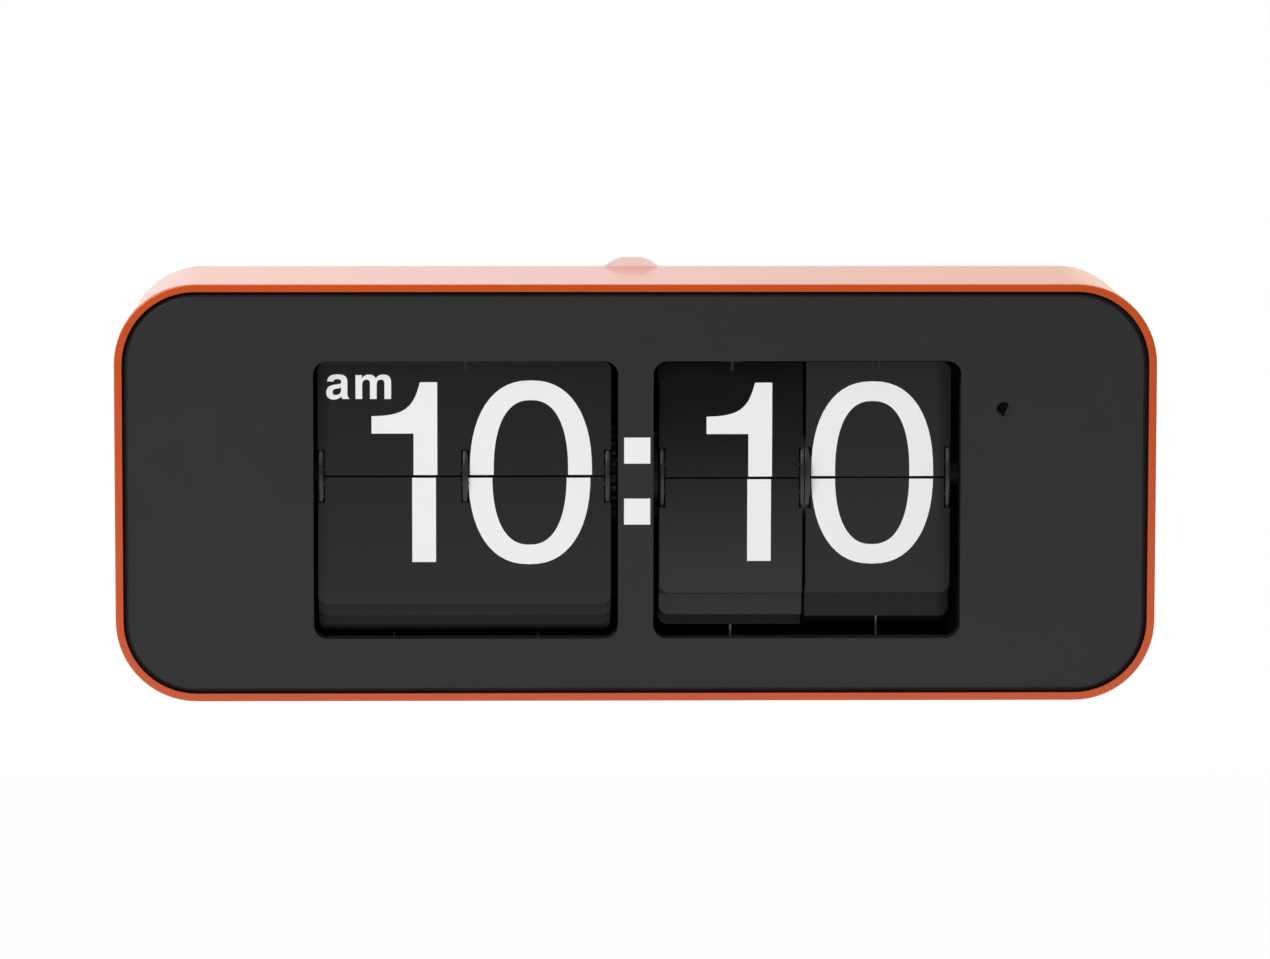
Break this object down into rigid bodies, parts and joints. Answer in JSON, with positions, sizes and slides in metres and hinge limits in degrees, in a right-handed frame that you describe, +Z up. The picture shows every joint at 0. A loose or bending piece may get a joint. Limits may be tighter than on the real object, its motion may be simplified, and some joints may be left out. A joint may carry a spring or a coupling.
{
  "type": "flip wall clock",
  "caption": "Wide wall clock with an orange band case, a dark panel and three drums of split leaves that flip to show hours and minutes.",
  "frame": {"origin": "under the middle of the case, on the surface that it can stand on", "axes": "+X to the right of someone who reads the clock, +Y to the wall, +Z up"},
  "size_m": [0.36, 0.08, 0.1482],
  "materials": {
    "board_green": "green lacquer",
    "bright_wire": "bright drawn wire",
    "case_orange": "glossy orange",
    "cell_wrap": "plain blue wrap, which hides the can",
    "contact_nickel": "nickel-plated strip",
    "copper_coil": "enamelled copper winding",
    "disc_grey": "grey moulding",
    "dot_white": "white",
    "gear_white": "natural white moulding",
    "iron_plate": "plain iron",
    "lead_red": "soft insulation",
    "leaf_black": "satin near-black with white print",
    "moulded_black": "fine-grained black moulding",
    "panel_grey": "fine satin dark grey",
    "screw_steel": "zinc-plated",
    "spring_steel": "bare spring steel",
    "zinc_steel": "zinc-plated sheet"
  },
  "bodies": {
    "case": {"case_shell": "case_orange", "front_panel": "panel_grey", "dot_inlays": "dot_white", "back_cover": "case_orange", "cover_screws": "screw_steel", "battery_box": "moulded_black", "battery_cell": "cell_wrap", "battery_contacts": "contact_nickel", "battery_leads": "lead_red", "left_bracket": "zinc_steel", "centre_bracket": "zinc_steel", "right_bracket": "zinc_steel", "movement_plate": "moulded_black", "top_bar": "zinc_steel", "bottom_bar": "zinc_steel", "frame_screws": "screw_steel", "drum_axle": "screw_steel", "axle_clips": "spring_steel", "transfer_arm": "zinc_steel", "motor_stator": "iron_plate", "motor_coil": "copper_coil", "motor_plate": "moulded_black", "circuit_board": "board_green", "quartz_crystal": "screw_steel", "hour_catch_spring": "spring_steel", "hour_stay_wires": "bright_wire", "tens_catch_spring": "spring_steel", "tens_stay_wire": "bright_wire", "units_catch_spring": "spring_steel", "units_stay_wire": "bright_wire"},
    "hour_drum": {"hour_discs": "disc_grey", "hour_leaves": "leaf_black", "hour_gear": "moulded_black"},
    "hour_flip_leaf": {"hour_flip_leaf": "leaf_black"},
    "hour_low_leaf_1": {"hour_low_leaf_1": "leaf_black"},
    "hour_low_leaf_2": {"hour_low_leaf_2": "leaf_black"},
    "hour_low_leaf_3": {"hour_low_leaf_3": "leaf_black"},
    "hour_low_leaf_4": {"hour_low_leaf_4": "leaf_black"},
    "hour_low_leaf_5": {"hour_low_leaf_5": "leaf_black"},
    "tens_drum": {"tens_discs": "disc_grey", "tens_leaves": "leaf_black", "tens_hub": "moulded_black"},
    "tens_flip_leaf": {"tens_flip_leaf": "leaf_black"},
    "tens_low_leaf_1": {"tens_low_leaf_1": "leaf_black"},
    "tens_low_leaf_2": {"tens_low_leaf_2": "leaf_black"},
    "tens_low_leaf_3": {"tens_low_leaf_3": "leaf_black"},
    "units_drum": {"units_discs": "disc_grey", "units_leaves": "leaf_black", "units_hub": "moulded_black", "units_drive_gear": "gear_white"},
    "units_flip_leaf": {"units_flip_leaf": "leaf_black"},
    "units_low_leaf_1": {"units_low_leaf_1": "leaf_black"},
    "units_low_leaf_2": {"units_low_leaf_2": "leaf_black"},
    "carry_pinion": {"carry_pinion": "gear_white"},
    "transfer_pinion": {"transfer_pinion": "gear_white"},
    "seconds_wheel": {"seconds_wheel": "panel_grey"},
    "motor_rotor": {"motor_rotor": "gear_white"},
    "setting_wheel": {"setting_wheel": "moulded_black"},
    "battery_door": {"battery_door": "case_orange"}
  },
  "joints": [
    {"name": "hour_step", "type": "hinge", "parent": "case", "child": "hour_drum", "pos_m": [-0.0593, -0.016, 0.0776], "axis": [1, 0, 0], "range_deg": [0, 15], "deforming": ["hour_catch_spring", "hour_stay_wires"]},
    {"name": "hour_flip_fall", "type": "hinge", "parent": "hour_drum", "child": "hour_flip_leaf", "pos_m": [-0.0593, -0.03421, 0.08022], "axis": [1, 0, 0], "range_deg": [0, 165]},
    {"name": "hour_low_1_hang", "type": "hinge", "parent": "hour_drum", "child": "hour_low_leaf_1", "pos_m": [-0.0593, -0.03427, 0.07542], "axis": [1, 0, 0], "range_deg": [-15, 0]},
    {"name": "hour_low_2_hang", "type": "hinge", "parent": "hour_drum", "child": "hour_low_leaf_2", "pos_m": [-0.0593, -0.03308, 0.07077], "axis": [1, 0, 0], "range_deg": [-15, 0]},
    {"name": "hour_low_3_hang", "type": "hinge", "parent": "hour_drum", "child": "hour_low_leaf_3", "pos_m": [-0.0593, -0.03073, 0.06658], "axis": [1, 0, 0], "range_deg": [-15, 0]},
    {"name": "hour_low_4_hang", "type": "hinge", "parent": "hour_drum", "child": "hour_low_leaf_4", "pos_m": [-0.0593, -0.02738, 0.06314], "axis": [1, 0, 0], "range_deg": [-15, 0]},
    {"name": "hour_low_5_hang", "type": "hinge", "parent": "hour_drum", "child": "hour_low_leaf_5", "pos_m": [-0.0593, -0.02325, 0.06069], "axis": [1, 0, 0], "range_deg": [-15, 0]},
    {"name": "tens_step", "type": "hinge", "parent": "case", "child": "tens_drum", "pos_m": [0.033, -0.016, 0.0776], "axis": [1, 0, 0], "range_deg": [0, 30], "deforming": ["tens_catch_spring", "tens_stay_wire"]},
    {"name": "tens_flip_fall", "type": "hinge", "parent": "tens_drum", "child": "tens_flip_leaf", "pos_m": [0.033, -0.03389, 0.0819], "axis": [1, 0, 0], "range_deg": [0, 150]},
    {"name": "tens_low_1_hang", "type": "hinge", "parent": "tens_drum", "child": "tens_low_leaf_1", "pos_m": [0.033, -0.03364, 0.07237], "axis": [1, 0, 0], "range_deg": [-30, 0]},
    {"name": "tens_low_2_hang", "type": "hinge", "parent": "tens_drum", "child": "tens_low_leaf_2", "pos_m": [0.033, -0.02867, 0.06425], "axis": [1, 0, 0], "range_deg": [-30, 0]},
    {"name": "tens_low_3_hang", "type": "hinge", "parent": "tens_drum", "child": "tens_low_leaf_3", "pos_m": [0.033, -0.0203, 0.05971], "axis": [1, 0, 0], "range_deg": [-30, 0]},
    {"name": "units_step", "type": "hinge", "parent": "case", "child": "units_drum", "pos_m": [0.08405, -0.016, 0.0776], "axis": [1, 0, 0], "range_deg": [0, 36], "deforming": ["units_catch_spring", "units_stay_wire"]},
    {"name": "units_flip_fall", "type": "hinge", "parent": "units_drum", "child": "units_flip_leaf", "pos_m": [0.08405, -0.03361, 0.08295], "axis": [1, 0, 0], "range_deg": [0, 144]},
    {"name": "units_low_1_hang", "type": "hinge", "parent": "units_drum", "child": "units_low_leaf_1", "pos_m": [0.08405, -0.03339, 0.07158], "axis": [1, 0, 0], "range_deg": [-36, 0]},
    {"name": "units_low_2_hang", "type": "hinge", "parent": "units_drum", "child": "units_low_leaf_2", "pos_m": [0.08405, -0.02653, 0.06251], "axis": [1, 0, 0], "range_deg": [-36, 0]},
    {"name": "carry_pinion_spin", "type": "hinge", "parent": "case", "child": "carry_pinion", "pos_m": [0, 0.004, 0.0776], "axis": [1, 0, 0], "range_deg": [-45, 0]},
    {"name": "transfer_pinion_spin", "type": "hinge", "parent": "case", "child": "transfer_pinion", "pos_m": [0.0582, -0.016, 0.0856], "axis": [1, 0, 0], "range_deg": [-90, 0]},
    {"name": "seconds_wheel_turn", "type": "hinge", "parent": "case", "child": "seconds_wheel", "pos_m": [0.124, -0.0196, 0.0993], "axis": [1, 0, 0], "range_deg": [-360, 0]},
    {"name": "motor_rotor_turn", "type": "hinge", "parent": "case", "child": "motor_rotor", "pos_m": [0.136, -0.00899, 0.10991], "axis": [1, 0, 0], "range_deg": [0, 1800]},
    {"name": "setting_wheel_turn", "type": "hinge", "parent": "case", "child": "setting_wheel", "pos_m": [0.12, 0.019, 0.0776], "axis": [1, 0, 0], "range_deg": [-48, 0]},
    {"name": "battery_door_hinge", "type": "hinge", "parent": "case", "child": "battery_door", "pos_m": [-0.146, 0.03875, 0.04055], "axis": [-1, 0, 0], "range_deg": [0, 95]}
  ],
  "couplings": [
    {"joint": "hour_flip_fall", "follows": "hour_step", "ratio": 11},
    {"joint": "hour_low_1_hang", "follows": "hour_step", "ratio": -1},
    {"joint": "hour_low_2_hang", "follows": "hour_step", "ratio": -1},
    {"joint": "hour_low_3_hang", "follows": "hour_step", "ratio": -1},
    {"joint": "hour_low_4_hang", "follows": "hour_step", "ratio": -1},
    {"joint": "hour_low_5_hang", "follows": "hour_step", "ratio": -1},
    {"joint": "tens_flip_fall", "follows": "tens_step", "ratio": 5},
    {"joint": "tens_low_1_hang", "follows": "tens_step", "ratio": -1},
    {"joint": "tens_low_2_hang", "follows": "tens_step", "ratio": -1},
    {"joint": "tens_low_3_hang", "follows": "tens_step", "ratio": -1},
    {"joint": "units_flip_fall", "follows": "units_step", "ratio": 4},
    {"joint": "units_low_1_hang", "follows": "units_step", "ratio": -1},
    {"joint": "units_low_2_hang", "follows": "units_step", "ratio": -1},
    {"joint": "carry_pinion_spin", "follows": "hour_step", "ratio": -3},
    {"joint": "transfer_pinion_spin", "follows": "tens_step", "ratio": -3},
    {"joint": "seconds_wheel_turn", "follows": "units_step", "ratio": -10},
    {"joint": "motor_rotor_turn", "follows": "units_step", "ratio": 50},
    {"joint": "setting_wheel_turn", "follows": "units_step", "ratio": -1.3333}
  ]
}
